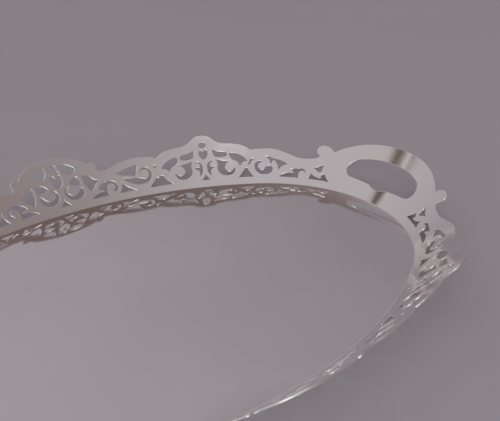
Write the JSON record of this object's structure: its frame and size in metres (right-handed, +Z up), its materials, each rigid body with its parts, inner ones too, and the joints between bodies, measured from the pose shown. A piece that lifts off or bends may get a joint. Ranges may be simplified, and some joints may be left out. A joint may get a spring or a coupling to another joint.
{
  "type": "oval gallery tray",
  "caption": "Oval metal vanity tray with a flat floor and an outward-leaning pierced scroll gallery, arched grip openings at both ends and domed crests on the long sides.",
  "frame": {"origin": "middle of the underside of the floor plate, which is the bottom centre of the bounding box", "axes": "+X along the tray's long axis towards the east handle, +Y across the tray towards the north dome, +Z up out of the floor"},
  "size_m": [0.522, 0.3852, 0.0419],
  "materials": {
    "floor_silver": "polished silver plate, faint wiping scratches",
    "gallery_silver": "polished silver plate, softened pierced edges"
  },
  "bodies": {
    "root": {"floor_plate": "floor_silver", "handle_panel_east": "gallery_silver", "handle_panel_west": "gallery_silver", "crest_panel_ne": "gallery_silver", "crest_panel_nw": "gallery_silver", "crest_panel_se": "gallery_silver", "crest_panel_sw": "gallery_silver", "dome_panel_north": "gallery_silver", "dome_panel_south": "gallery_silver"}
  },
  "joints": []
}
